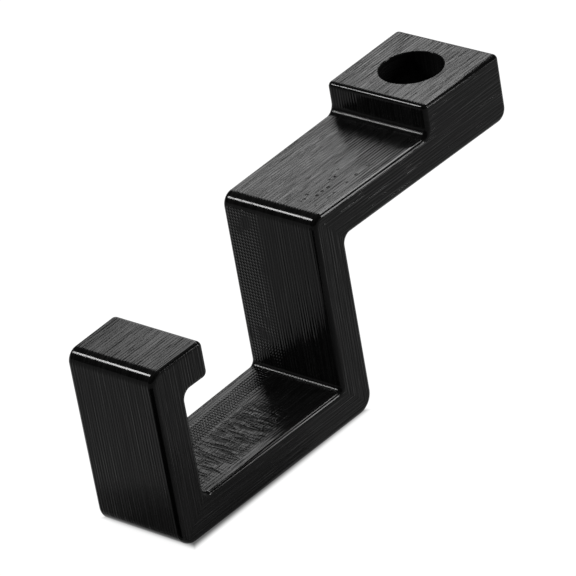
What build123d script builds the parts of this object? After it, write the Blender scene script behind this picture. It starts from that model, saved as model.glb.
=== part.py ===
import os

from build123d import *

# Headrest hook, moulded in one piece from black plastic. The block slides over one post of a car
# headrest, the arm lies on top of the seat and reaches out past it, the wall drops behind the
# seat, and bags hang in the tray between the wall and the upright.
# Lengths are in millimetres. The origin is the centre of the post bore in the underside of the
# block, +Z is up along the bore, and the hook reaches out along -X.

# The post, and the play that lets the hook slide on it
post_dia = 14.0
post_play = 0.5

# The strip that forms the lip, upright, tray, wall and arm
strip_thickness = 8.8
tip_width = 23.6
rear_width = 28.2

# Lengths and heights along the strip
lip_overhang = 7.6
upright_height = 43.0
pocket_length = 45.0
drop = 42.4
arm_run = 30.0
block_length = 26.0
block_height = 16.0

# Rounded corners of the side view
foot_radius = 4.2
brow_radius = 3.0
rear_radius = 3.0
lip_radius = 1.5
block_top_radius = 1.3
inner_radius = 2.0
tray_corner_radius = 1.2

# Rounding along both flanks
flank_radius = 1.2

# Places along X, from the bore outwards
block_rear = block_length / 2
block_front = block_rear - block_length
wall_rear = block_front - arm_run
wall_front = wall_rear - strip_thickness
upright_inner = wall_front - pocket_length
upright_front = upright_inner - strip_thickness
lip_end = upright_inner + lip_overhang

# Heights along Z, from the underside of the arm and block
arm_underside = 0.0
arm_top = arm_underside + strip_thickness
block_top = arm_underside + block_height
tray_underside = arm_underside - drop
tray_top = tray_underside + strip_thickness
upright_top = tray_underside + upright_height
lip_underside = upright_top - strip_thickness

# Corners of the side view, clockwise from the foot of the upright
toe = (upright_front, tray_underside)
upright_brow = (upright_front, upright_top)
lip_top = (lip_end, upright_top)
lip_bottom = (lip_end, lip_underside)
lip_root = (upright_inner, lip_underside)
upright_root = (upright_inner, tray_top)
wall_root = (wall_front, tray_top)
wall_brow = (wall_front, arm_top)
step_root = (block_front, arm_top)
step_edge = (block_front, block_top)
block_edge = (block_rear, block_top)
block_heel = (block_rear, arm_underside)
arm_root = (wall_rear, arm_underside)
heel = (wall_rear, tray_underside)

outline = [
    toe,
    upright_brow,
    lip_top,
    lip_bottom,
    lip_root,
    upright_root,
    wall_root,
    wall_brow,
    step_root,
    step_edge,
    block_edge,
    block_heel,
    arm_root,
    heel,
]

rounding = [
    (foot_radius, [toe, heel]),
    (brow_radius, [upright_brow, wall_brow]),
    (rear_radius, [block_heel]),
    (lip_radius, [lip_top, lip_bottom]),
    (block_top_radius, [step_edge, block_edge]),
    (inner_radius, [lip_root, upright_root, step_root, arm_root]),
    (tray_corner_radius, [wall_root]),
]

full_width = max(tip_width, rear_width)
full_height = max(upright_top, block_top) - tray_underside

with BuildPart() as headrest_hook:
    # The bent strip and the block, seen from the side
    with BuildSketch(Plane.XZ) as side_view:
        with BuildLine():
            Polyline(*outline, close=True)
        make_face()
        for radius, corners in rounding:
            for corner in corners:
                fillet(side_view.vertices().sort_by_distance(corner)[0], radius=radius)
    extrude(amount=full_width / 2, both=True)

    # Seen from above, the flanks spread from the tip to the block
    with BuildSketch(Plane.XY.offset(tray_underside)) as plan_view:
        with BuildLine():
            Polyline(
                (upright_front, -tip_width / 2),
                (block_rear, -rear_width / 2),
                (block_rear, rear_width / 2),
                (upright_front, tip_width / 2),
                close=True,
            )
        make_face()
    extrude(amount=full_height, mode=Mode.INTERSECT)

    # Both flanks have rounded rims
    flanks = headrest_hook.faces().filter_by(lambda face: abs(face.normal_at().Y) > 0.9)
    fillet(flanks.edges(), radius=flank_radius)

    # The bore for the post goes straight down through the block
    with Locations(Plane.XY.offset(block_top)):
        Hole(radius=(post_dia + post_play) / 2)

headrest_hook.part.label = "headrest_hook"

os.makedirs("parts", exist_ok=True)
export_step(headrest_hook.part, "parts/headrest_hook.step")
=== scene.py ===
import math

import bpy
from mathutils import Matrix, Vector


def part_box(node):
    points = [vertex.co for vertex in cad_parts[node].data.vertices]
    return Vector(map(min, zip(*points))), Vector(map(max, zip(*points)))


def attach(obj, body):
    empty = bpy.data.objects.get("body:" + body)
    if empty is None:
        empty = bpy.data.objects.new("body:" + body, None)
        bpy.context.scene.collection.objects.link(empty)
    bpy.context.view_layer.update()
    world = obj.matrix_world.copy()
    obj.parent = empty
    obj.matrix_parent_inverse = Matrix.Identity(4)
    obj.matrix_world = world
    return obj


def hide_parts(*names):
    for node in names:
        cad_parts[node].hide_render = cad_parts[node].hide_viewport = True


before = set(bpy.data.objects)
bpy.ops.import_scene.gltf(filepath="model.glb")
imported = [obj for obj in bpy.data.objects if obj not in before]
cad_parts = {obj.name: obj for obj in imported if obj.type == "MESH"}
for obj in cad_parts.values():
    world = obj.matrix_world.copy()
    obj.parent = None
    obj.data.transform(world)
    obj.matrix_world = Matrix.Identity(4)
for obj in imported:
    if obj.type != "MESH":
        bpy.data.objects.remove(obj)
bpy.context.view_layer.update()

# The hook
# One bent strip of black plastic with a bored block at its end, moulded in a single piece. The
# side view below runs across the whole strip, both flanks have a rounded rim, and the bore for
# the headrest post goes straight down through the block.
mm = 0.001
strip_thickness = 8.8 * mm
tip_width = 23.6 * mm
lip_overhang = 7.6 * mm
upright_height = 43.0 * mm
pocket_length = 45.0 * mm
arm_run = 30.0 * mm
bore_radius = 7.25 * mm
foot_radius = 4.2 * mm
brow_radius = 3.0 * mm
rear_radius = 3.0 * mm
lip_radius = 1.5 * mm
block_top_radius = 1.3 * mm
inner_radius = 2.0 * mm
tray_corner_radius = 1.2 * mm
flank_radius = 1.2 * mm
bore_rim_radius = 0.25 * mm

hook_low, hook_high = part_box("headrest_hook")
block_rear = hook_high.x
block_front = -block_rear
wall_rear = block_front - arm_run
wall_front = wall_rear - strip_thickness
upright_inner = wall_front - pocket_length
upright_front = hook_low.x
lip_end = upright_inner + lip_overhang
block_top = hook_high.z
arm_top = strip_thickness
arm_underside = 0.0
tray_underside = hook_low.z
tray_top = tray_underside + strip_thickness
upright_top = tray_underside + upright_height
lip_underside = upright_top - strip_thickness

# Corners of the side view and their radii, clockwise from the foot of the upright
side_corners = [
    (upright_front, tray_underside, foot_radius),
    (upright_front, upright_top, brow_radius),
    (lip_end, upright_top, lip_radius),
    (lip_end, lip_underside, lip_radius),
    (upright_inner, lip_underside, inner_radius),
    (upright_inner, tray_top, inner_radius),
    (wall_front, tray_top, tray_corner_radius),
    (wall_front, arm_top, brow_radius),
    (block_front, arm_top, inner_radius),
    (block_front, block_top, block_top_radius),
    (block_rear, block_top, block_top_radius),
    (block_rear, arm_underside, rear_radius),
    (wall_rear, arm_underside, inner_radius),
    (wall_rear, tray_underside, foot_radius),
]
quarter_turn = math.radians(90)
arc_steps = 12
rim_steps = 10
steps_across = 24
longest_step = 1.5 * mm

# Round each mouth of the bore, a square of the flat is filled with rings instead of the sweep
mouth_reach = 9.5 * mm
mouth_margin = 3
mouth_rings = 4
bore_rim_steps = 4

# Each corner becomes an arc of places, each with its normal
arcs = []
for i, (corner_x, corner_z, radius) in enumerate(side_corners):
    corner = Vector((corner_x, corner_z))
    to_last = (Vector(side_corners[i - 1][:2]) - corner).normalized()
    to_next = (Vector(side_corners[(i + 1) % len(side_corners)][:2]) - corner).normalized()
    convex = to_last.x * to_next.y > to_last.y * to_next.x
    centre = corner + (to_last + to_next) * radius
    arc = []
    for step in range(arc_steps + 1):
        angle = quarter_turn * step / arc_steps
        away = -to_next * math.cos(angle) - to_last * math.sin(angle)
        arc.append((centre + away * radius, away if convex else -away))
    arcs.append(arc)

# The side view is those arcs with even steps between them. A run that passes the bore has a stop
# on each side of it, and the bore's mouth lies between the two.
side_view = []
mouths = []
for i, arc in enumerate(arcs):
    side_view += arc
    (start, normal), (end, _) = arc[-1], arcs[(i + 1) % len(arcs)][0]
    stops = [start, end]
    if min(start.x, end.x) < -mouth_reach and max(start.x, end.x) > mouth_reach:
        reach = math.copysign(mouth_reach, end.x - start.x)
        stops[1:1] = [Vector((-reach, start.y)), Vector((reach, start.y))]
    for k, (a, b) in enumerate(zip(stops, stops[1:])):
        parts = math.ceil((b - a).length / longest_step)
        if k == 1:
            mouths.append((len(side_view), len(side_view) + parts))
        side_view += [(a.lerp(b, part / parts), normal) for part in range(0 if k else 1, parts)]


def half_width(x):
    """Half the strip's width at x: seen from above, the flanks spread from the tip to the block."""
    widest_at = block_rear - flank_radius
    share = (x - upright_front) / (widest_at - upright_front)
    return tip_width / 2 + share * (hook_high.y - tip_width / 2)


# Places across the strip: a rim on each side, as (side, share of the flat, angle round the rim)
across = [(-1, -1.0, quarter_turn * (1 - step / rim_steps)) for step in range(rim_steps)]
across += [(0, 2 * step / steps_across - 1, 0.0) for step in range(steps_across + 1)]
across += [(1, 1.0, quarter_turn * (step + 1) / rim_steps) for step in range(rim_steps)]
flank_slope = half_width(1.0) - half_width(0.0)
dish_slope = 0.08
dish_power = 8
points, normals, faces = [], [], []
sweep_numbers = {}


def new_point(place, normal):
    """The number of a new point of the skin."""
    points.append(place)
    normals.append(normal.normalized())
    return len(points) - 1


def dished(normal, share):
    """A normal of the faces that look up, which are dished a little, as thick plastic sinks."""
    return normal - Vector((0, dish_slope * share * max(normal.z, 0.0) ** dish_power, 0))


def sweep_point(i, j):
    """The number of the point at step i of the side view and place j across the strip."""
    i %= len(side_view)
    if (i, j) not in sweep_numbers:
        (x, z), (nx, nz) = side_view[i]
        side, share, angle = across[j]
        inset = flank_radius * (1 - math.cos(angle))
        x, z = x - nx * inset, z - nz * inset
        y = share * (half_width(x) - flank_radius) + side * flank_radius * math.sin(angle)
        normal = dished(Vector((nx, 0, nz)), share) * math.cos(angle)
        normal += Vector((-flank_slope, side, 0)) * math.sin(angle)
        sweep_numbers[i, j] = new_point(Vector((x, y, z)), normal)
    return sweep_numbers[i, j]


mouth_places = range(rim_steps + mouth_margin, rim_steps + steps_across - mouth_margin)
for i in range(len(side_view)):
    at_mouth = any(first <= i < last for first, last in mouths)
    for j in range(len(across) - 1):
        if not (at_mouth and j in mouth_places):
            ring = [(i, j), (i + 1, j), (i + 1, j + 1), (i, j + 1)]
            faces.append([sweep_point(*place) for place in ring])
faces.append([sweep_point(i, 0) for i in reversed(range(len(side_view)))])
faces.append([sweep_point(i, len(across) - 1) for i in range(len(side_view))])


def join_loops(outer, inner):
    """Faces between two closed loops of as many points each."""
    for k in range(len(outer)):
        after = (k + 1) % len(outer)
        faces.append([outer[k], outer[after], inner[after], inner[k]])


# Rings from each square to the bore's rounded mouth, then the wall of the bore between them
bore_loops = []
for first, last in mouths:
    low, high = mouth_places.start, mouth_places.stop
    square = [(i, low) for i in range(first, last)]
    square += [(last, j) for j in range(low, high)]
    square += [(i, high) for i in range(last, first, -1)]
    square += [(first, j) for j in range(high, low, -1)]
    loop = [sweep_point(*place) for place in square]
    facing = Vector((0, 0, math.copysign(1, normals[loop[0]].z)))
    edge = [points[number] for number in loop]
    outward = [Vector((place.x, place.y, 0)).normalized() for place in edge]
    for ring in range(1, mouth_rings + 1):
        inner = []
        for place, out in zip(edge, outward):
            rim = out * (bore_radius + bore_rim_radius) + Vector((0, 0, place.z))
            spot = place.lerp(rim, ring / mouth_rings)
            inner.append(new_point(spot, dished(facing, spot.y / half_width(spot.x))))
        join_loops(loop, inner)
        loop = inner
    for step in range(1, bore_rim_steps + 1):
        angle = quarter_turn * step / bore_rim_steps
        inner = []
        for place, out in zip(edge, outward):
            normal = facing * math.cos(angle) - out * math.sin(angle)
            centre = out * (bore_radius + bore_rim_radius) + Vector((0, 0, place.z))
            centre -= facing * bore_rim_radius
            inner.append(new_point(centre + normal * bore_rim_radius, normal))
        join_loops(loop, inner)
        loop = inner
    bearing = {number: math.atan2(points[number].y, points[number].x) for number in loop}
    bore_loops.append(sorted(loop, key=bearing.get))
upper, lower = bore_loops
join_loops(upper, lower)

hook_mesh = bpy.data.meshes.new("hook_skin")
hook_mesh.from_pydata(points, [], faces)
hook_mesh.polygons.foreach_set("use_smooth", [True] * len(faces))
hook_mesh.normals_split_custom_set_from_vertices(normals)


def put_in_scene(name, data):
    """A new object in the scene, at the origin."""
    made = bpy.data.objects.new(name, data)
    bpy.context.scene.collection.objects.link(made)
    return made


hook = put_in_scene("hook_skin", hook_mesh)

# The hook's plastic
# Solid black plastic, satin, with fine lines left along each member by the making of its mould.
# Handles and straps have scuffed the tray, and the arm has a few small nicks.
base_black = 0.0025
line_black = 0.006
specular_level = 0.055
satin_low, satin_high = 0.08, 0.15
root_satin = 0.20
scuff_satin = 0.50
shade_span = (0.35, 0.75)
satin_span = (0.3, 0.7)

# The lines are even ridges that wander, over a finer grain. Every depth is a share of a millimetre.
ridge_pitch = 0.76 * mm
ridge_depth = 0.027
ridge_wobble = 3.0
wobble_length = 20.0 * mm
wobble_pitch = 9.0 * mm
grain_pitch = 0.40 * mm
line_length = 16.0 * mm
grain_depth = 0.095
grain_rough = 0.55
top_ridge_share = 1.75
flank_ridge_share = 0.5
flank_share = 1.6
mitre = 0.8 * mm
near_corner_lines, far_corner_lines = 0.05, 0.18
near_half_end, far_half_start = -3.0 * mm, 4.0 * mm

# How much of a normal lies along an axis where a kind of face begins, and where it is full
flank_turn = (0.55, 0.85)
up_turn = (0.6, 0.9)
flat_turn = (0.94, 0.995)

# Swells, pebbles, scuffs and nicks
swell_pitch = 6.0 * mm
swell_depth = 0.02
patch_from, patch_to = 0.32, 0.50
pebble_pitch = 0.80 * mm
pebble_depth = 0.20
pebble_middle = 0.25
root_pebble_share = 0.05
scuff_width = 0.55 * mm
scuff_length = 5.0 * mm
scuff_depth = 0.34
scuff_from, scuff_to = 0.42, 0.72
nick_spacing = 2.0 * mm
nick_size = 0.24
nick_depth = 0.25

# Stretches of X or Y, as (centre, reach to each side, edge that fades out)
scuffed_along = (-80.0 * mm, 14.0 * mm, 6.0 * mm)
scuffed_across = (-3.0 * mm, 4.5 * mm, 3.0 * mm)
nicked_along = (-37.0 * mm, 9.0 * mm, 2.0 * mm)
nicked_across = (-7.0 * mm, 2.5 * mm, 1.0 * mm)
tray_strip = (12.2 * mm, 2.2 * mm, 1.0 * mm)
tray_strip_slope = 0.08
wall_strip_from, wall_strip_to = 1.0 * mm, 8.0 * mm
wall_reach = 1.5 * mm
level_reach = 1.0 * mm
skin_edge = 0.5 * mm

plastic = bpy.data.materials.new("black_plastic_satin")
plastic.use_nodes = True
tree = plastic.node_tree
shader = tree.nodes["Principled BSDF"]


def new_node(kind, **settings):
    """A shader node in the material that is being made."""
    made = tree.nodes.new("ShaderNode" + kind)
    for name, value in settings.items():
        setattr(made, name, value)
    return made


def feed(socket, value):
    """Gives an input a number, or links it to an output."""
    if isinstance(value, (int, float)):
        socket.default_value = value
    else:
        tree.links.new(value, socket)


def work_out(operation, first, second=0.0, third=0.0):
    """A Math node on outputs or numbers."""
    made = new_node("Math", operation=operation)
    for socket, value in zip(made.inputs, (first, second, third)):
        feed(socket, value)
    return made.outputs[0]


def ramp(value, start, end, low=0.0, high=1.0):
    """A smooth step of a value from low at start to high at end."""
    made = new_node("MapRange", interpolation_type="SMOOTHSTEP")
    feed(made.inputs["Value"], value)
    for name, number in zip(("From Min", "From Max", "To Min", "To Max"), (start, end, low, high)):
        feed(made.inputs[name], number)
    return made.outputs["Result"]


def blend_values(share, first, second):
    """first where share is 0 and second where it is 1."""
    made = new_node("Mix", data_type="FLOAT")
    for name, value in (("Factor", share), ("A", first), ("B", second)):
        feed(made.inputs[name], value)
    return made.outputs["Result"]


def together(*masks):
    """The product of masks."""
    product = masks[0]
    for mask in masks[1:]:
        product = work_out("MULTIPLY", product, mask)
    return product


def within(value, centre, reach, edge):
    """1 where a value is within reach of centre, falling to 0 over the edge."""
    away = work_out("ABSOLUTE", work_out("SUBTRACT", value, centre))
    return ramp(away, reach + edge, reach - edge)


def grain(pitches, detail):
    """Noise on the object's own coordinates, with its own pitch along X, Y and Z."""
    stretch = new_node("VectorMath", operation="MULTIPLY")
    tree.links.new(coordinates.outputs["Object"], stretch.inputs[0])
    stretch.inputs[1].default_value = [1 / pitch for pitch in pitches]
    noise = new_node("TexNoise", noise_dimensions="3D", normalize=True)
    noise.inputs["Scale"].default_value = 1.0
    noise.inputs["Detail"].default_value = detail
    noise.inputs["Roughness"].default_value = grain_rough
    tree.links.new(stretch.outputs[0], noise.inputs["Vector"])
    return noise.outputs["Fac"]


coordinates = new_node("TexCoord")
axes = new_node("SeparateXYZ")
tree.links.new(coordinates.outputs["Object"], axes.inputs[0])
at_x, at_y, at_z = axes.outputs
turned = new_node("SeparateXYZ")
tree.links.new(coordinates.outputs["Normal"], turned.inputs[0])
flatness = work_out("ABSOLUTE", turned.outputs["Y"])
on_flank = ramp(flatness, *flank_turn)
on_faces = work_out("SUBTRACT", 1.0, on_flank)
facing_up = ramp(turned.outputs["Z"], *up_turn)
for axis in ("X", "Z"):
    flatness = work_out("MAXIMUM", flatness, work_out("ABSOLUTE", turned.outputs[axis]))
flat = ramp(flatness, *flat_turn)

# On the flanks the lines run up and down in the upright, the lip and the wall, and meet those of
# the tray and the arm in mitres
slant_up = work_out("SUBTRACT", at_z, at_x)
slant_down = work_out("ADD", at_z, at_x)
toe_mitre = tray_underside - upright_front
heel_mitre = tray_underside + wall_rear
brow_mitre = arm_top + wall_front
in_upright = ramp(slant_up, toe_mitre - mitre, toe_mitre + mitre)
above_heel = ramp(slant_down, heel_mitre - mitre, heel_mitre + mitre)
below_brow = ramp(slant_down, brow_mitre + mitre, brow_mitre - mitre)
up_and_down = work_out("MAXIMUM", in_upright, together(above_heel, below_brow))

face_grain = grain((line_length, grain_pitch, line_length), detail=2.0)
level_grain = grain((line_length, line_length, grain_pitch), detail=2.0)
upright_grain = grain((grain_pitch, line_length, line_length), detail=2.0)
wobble = grain((wobble_length, wobble_pitch, wobble_length), detail=1.0)


def ridges(along, pitch):
    """Even ridges from 0 to 1, a pitch apart along a coordinate, that wander a little."""
    turns = work_out("MULTIPLY", along, math.tau / pitch)
    turns = work_out("ADD", turns, work_out("MULTIPLY", wobble, ridge_wobble))
    return work_out("MULTIPLY_ADD", work_out("SINE", turns), 0.5, 0.5)


flank_grain = blend_values(up_and_down, level_grain, upright_grain)
flank_ridges = blend_values(up_and_down, ridges(at_z, ridge_pitch), ridges(at_x, ridge_pitch))
lines = blend_values(on_flank, face_grain, flank_grain)
line_ridges = blend_values(on_flank, ridges(at_y, ridge_pitch), flank_ridges)

# The rounded corners are smoother than the flats, and smoothest on the near half
corner_lines = ramp(at_y, near_half_end, far_half_start, near_corner_lines, far_corner_lines)
lined = work_out("MAXIMUM", flat, corner_lines)


def near_root(corner_x, corner_z, offset, reach, edge):
    """1 in the concave root beside a corner of the side view."""
    return together(within(at_x, corner_x - offset, reach, edge),
                    within(at_z, corner_z + offset, reach, edge))


def on_level(level):
    """1 on the faces that look up at a level."""
    return together(within(at_z, level, level_reach, skin_edge), facing_up)


# The concave roots of the step and of the wall are rougher than the faces beside them
step_root = near_root(block_front, arm_top, offset=1.0 * mm, reach=1.2 * mm, edge=0.6 * mm)
wall_root = near_root(wall_front, tray_top, offset=0.5 * mm, reach=0.9 * mm, edge=0.5 * mm)
roots = work_out("MAXIMUM", step_root, wall_root)

# A pebbled strip runs down the far part of the wall and along the far side of the tray floor
swell = grain((swell_pitch, swell_pitch, swell_pitch), detail=1.0)
patches = ramp(swell, patch_from, patch_to)
on_wall = together(within(at_x, wall_front, wall_reach, skin_edge),
                   ramp(at_y, wall_strip_from, wall_strip_to))
beside_strip = work_out("SUBTRACT", at_y, work_out("MULTIPLY", at_x, tray_strip_slope))
on_tray = together(on_level(tray_top), within(beside_strip, *tray_strip))
pebbled = work_out("MAXIMUM", together(on_wall, patches), on_tray)
pebbled = together(pebbled, flat, on_faces)
pebbled = work_out("MAXIMUM", pebbled, work_out("MULTIPLY", roots, root_pebble_share))
slanting = work_out("ADD", at_x, at_z)
pebble = together(ridges(at_y, pebble_pitch), ridges(slanting, pebble_pitch))
pebble = work_out("SUBTRACT", pebble, pebble_middle)

# Handles have worn strokes across the tray floor, and the arm has a row of small nicks
in_tray = together(on_level(tray_top), within(at_y, *scuffed_across), within(at_x, *scuffed_along))
scuff = grain((scuff_width, scuff_length, scuff_length), detail=1.0)
scuffed = together(ramp(scuff, scuff_from, scuff_to), in_tray)
on_arm = together(on_level(arm_top), within(at_x, *nicked_along), within(at_y, *nicked_across))
spots = new_node("TexVoronoi", feature="F1")
spots.inputs["Scale"].default_value = 1 / nick_spacing
tree.links.new(coordinates.outputs["Object"], spots.inputs["Vector"])
nicks = together(ramp(spots.outputs["Distance"], nick_size, nick_size / 2), on_arm)
worn = work_out("MAXIMUM", scuffed, nicks)

flank_gain = blend_values(on_flank, 1.0, flank_share)
ridge_gain = blend_values(facing_up, ridge_depth, ridge_depth * top_ridge_share)
ridge_gain = blend_values(on_flank, ridge_gain, ridge_depth * flank_ridge_share)
grain_rise = work_out("MULTIPLY", work_out("SUBTRACT", lines, 0.5), grain_depth)
ridge_rise = work_out("MULTIPLY", work_out("SUBTRACT", line_ridges, 0.5), ridge_gain)
surface_height = together(work_out("ADD", grain_rise, ridge_rise), flank_gain, lined)
for rise, depth in (
    (swell, swell_depth),
    (together(pebbled, pebble), pebble_depth),
    (scuffed, -scuff_depth),
    (nicks, -nick_depth),
):
    surface_height = work_out("ADD", surface_height, work_out("MULTIPLY", rise, depth))

shade = ramp(lines, *shade_span, base_black, line_black)
tone = new_node("CombineColor")
for socket in tone.inputs:
    tree.links.new(shade, socket)
tree.links.new(tone.outputs[0], shader.inputs["Base Color"])
satin = ramp(lines, *satin_span, satin_low, satin_high)
satin = blend_values(roots, satin, root_satin)
satin = blend_values(worn, satin, scuff_satin)
tree.links.new(satin, shader.inputs["Roughness"])
shader.inputs["Specular IOR Level"].default_value = specular_level

relief = new_node("Bump")
relief.inputs["Distance"].default_value = mm
tree.links.new(surface_height, relief.inputs["Height"])
tree.links.new(relief.outputs[0], shader.inputs["Normal"])

hook_mesh.materials.append(plastic)
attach(hook, "root")
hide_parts("headrest_hook")

# The studio
# A round sheet of white paper whose rim turns up, so that it fills the view behind the hook from
# every side. It shows white, and its grey part takes the shadow of the lamps. Round the tray's foot
# a contact shadow is painted into its white.
paper_radius = 6.0
paper_rim = 1.0
paper_corners = 96
paper_points, paper_faces = [Vector((0, 0, tray_underside))], []
for lift in (0.0, paper_rim):
    for k in range(paper_corners):
        angle = math.tau * k / paper_corners
        out = Vector((math.cos(angle), math.sin(angle), 0)) * paper_radius
        paper_points.append(out + Vector((0, 0, tray_underside + lift)))
for k in range(paper_corners):
    here, after = 1 + k, 1 + (k + 1) % paper_corners
    paper_faces.append([0, here, after])
    paper_faces.append([here, here + paper_corners, after + paper_corners, after])
paper_mesh = bpy.data.meshes.new("paper")
paper_mesh.from_pydata(paper_points, [], paper_faces)
paper = put_in_scene("paper", paper_mesh)

# Close round the tray's flat underside a contact shadow is painted into the paper's glow, worked
# out from the size of the foot, besides the lamps' own shadow
paper_grey = 0.05
paper_glow = 0.98
paper_bounce = 0.5
painted_shadow_glow = 0.12
painted_shadow_reach = 2.2 * mm
foot_inset = 3.5 * mm
foot_length = wall_rear - upright_front - 2 * foot_inset
foot_width = 22.8 * mm
foot_middle = (upright_front + wall_rear) / 2

sheet = bpy.data.materials.new("white_paper")
sheet.use_nodes = True
tree = sheet.node_tree
tree.nodes.clear()
rays = new_node("LightPath")
shown = work_out("MAXIMUM", rays.outputs["Is Camera Ray"], rays.outputs["Is Glossy Ray"])
shown = work_out("MAXIMUM", shown, rays.outputs["Is Transmission Ray"])
on_paper = new_node("TexCoord")
paper_axes = new_node("SeparateXYZ")
tree.links.new(on_paper.outputs["Object"], paper_axes.inputs[0])
from_middle = work_out("SUBTRACT", paper_axes.outputs["X"], foot_middle)
past_end = work_out("SUBTRACT", work_out("ABSOLUTE", from_middle), foot_length / 2)
from_centre_line = work_out("ABSOLUTE", paper_axes.outputs["Y"])
past_side = work_out("SUBTRACT", from_centre_line, foot_width / 2)
past_foot = work_out("MAXIMUM", past_end, past_side)
glow = new_node("Emission")
# Painted contact shadow: the paper's glow falls from its white to a darker glow close round the
# foot
feed(glow.inputs["Strength"], ramp(past_foot, 0.0, painted_shadow_reach, painted_shadow_glow, paper_glow))
matt = new_node("BsdfDiffuse")
matt.inputs["Color"].default_value = (paper_grey, paper_grey, paper_grey, 1)
bounce = new_node("BsdfDiffuse")
bounce.inputs["Color"].default_value = (paper_bounce, paper_bounce, paper_bounce, 1)
both = new_node("AddShader")
tree.links.new(glow.outputs[0], both.inputs[0])
tree.links.new(matt.outputs[0], both.inputs[1])
choice = new_node("MixShader")
tree.links.new(shown, choice.inputs[0])
tree.links.new(bounce.outputs[0], choice.inputs[1])
tree.links.new(both.outputs[0], choice.inputs[2])
surface = new_node("OutputMaterial")
tree.links.new(choice.outputs[0], surface.inputs["Surface"])
paper_mesh.materials.append(sheet)

room_glow = 0.06
room = bpy.data.worlds.new("room")
room.use_nodes = True
room_background = room.node_tree.nodes["Background"]
room_background.inputs["Color"].default_value = (1, 1, 1, 1)
room_background.inputs["Strength"].default_value = room_glow
bpy.context.scene.world = room

# Soft lamps round the hook. Its level faces mirror the wide one behind it, its near rims the high
# one and the low one at the right, and its rounded brows the one at the back left.
hook_middle = (hook_low + hook_high) / 2


def strip_lamp(name, place, lies_along, length, width, radiance):
    """A rectangular lamp at place that faces the hook, with its length along a direction."""
    away = (Vector(place) - hook_middle).normalized()
    long_side = Vector(lies_along)
    long_side = (long_side - away * long_side.dot(away)).normalized()
    turn = Matrix((long_side.cross(away), long_side, away)).transposed()
    lamp = bpy.data.lights.new(name, "AREA")
    lamp.shape = "RECTANGLE"
    lamp.size, lamp.size_y = width, length
    lamp.energy = radiance * math.pi * width * length
    holder = put_in_scene(name, lamp)
    holder.matrix_world = Matrix.Translation(place) @ turn.to_4x4()


strip_lamp("back_lamp", place=(0.34, 0.334, 0.383), lies_along=(0.0, 0.84, 0.55),
           length=0.22, width=0.45, radiance=7.5)
strip_lamp("high_lamp", place=(0.34, -0.045, 0.472), lies_along=(0.0, 1.0, 0.0),
           length=0.29, width=0.06, radiance=43.0)
strip_lamp("left_lamp", place=(-0.189, 0.214, 0.244), lies_along=(0.39, 0.79, -0.47),
           length=0.05, width=0.06, radiance=110.0)
strip_lamp("right_lamp", place=(0.231, -0.366, 0.118), lies_along=(0.77, 0.64, 0.0),
           length=0.06, width=0.18, radiance=44.0)

# Three cards lie on the paper in front of the hook, out of the camera's sight, and cast no shadow.
# They are painted shade that only the hook's reflections see. They keep the white of the paper out
# of the upright edges that face the camera, and dim it close to the foot. Their corners are (x, y)
# in millimetres.
card_thickness = 0.05 * mm
grey_shade_corners = [(-58, -15), (-68, -32), (-76, -40), (-104, -62), (-135, -45), (-107, -13),
                (-106, -12), (-80, -12.5)]
foot_shade_corners = [(-106, -12), (-119, -8), (-121, 10), (-112, 26), (-106, 26)]
dark_shade_corners = [(-106, -13), (-150, -84), (-182, -50), (-184, 10), (-140, 6)]
for name, corners, card_shade, layer in (
    ("grey_shade_card", grey_shade_corners, 0.90, 1),
    ("foot_shade_card", foot_shade_corners, 0.50, 1),
    ("dark_shade_card", dark_shade_corners, 0.002, 2),
):
    card_level = tray_underside + layer * card_thickness
    card_points = [(x * mm, y * mm, card_level) for x, y in corners]
    card_mesh = bpy.data.meshes.new(name)
    card_mesh.from_pydata(card_points, [], [range(len(corners))])
    card = put_in_scene(name, card_mesh)
    card.visible_camera = False
    card.visible_shadow = False
    card_paint = bpy.data.materials.new(name)
    card_paint.use_nodes = True
    card_paint_shader = card_paint.node_tree.nodes["Principled BSDF"]
    # The card's colour is painted shade for the hook's reflections
    card_paint_shader.inputs["Base Color"].default_value = (card_shade, card_shade, card_shade, 1)
    card_paint_shader.inputs["Roughness"].default_value = 1.0
    card_paint_shader.inputs["Specular IOR Level"].default_value = 0.0
    card_mesh.materials.append(card_paint)

# The camera
# A long lens, about a metre away, at the angle of the photograph.
eye = Vector((-0.67937, -0.61947, 0.50067))
aim = Vector((-0.04806, 0.00147, -0.01359))
tilt = math.radians(-10.24)
camera_data = bpy.data.cameras.new("camera")
camera_data.sensor_width = 36.0
camera_data.lens = 299.55
camera_data.clip_start, camera_data.clip_end = 0.05, 50.0
camera = put_in_scene("camera", camera_data)
look = (aim - eye).to_track_quat("-Z", "Y").to_matrix() @ Matrix.Rotation(tilt, 3, "Z")
camera.matrix_world = Matrix.Translation(eye) @ look.to_4x4()
bpy.context.scene.camera = camera
bpy.context.scene.view_settings.view_transform = "Standard"

bpy.context.view_layer.update()
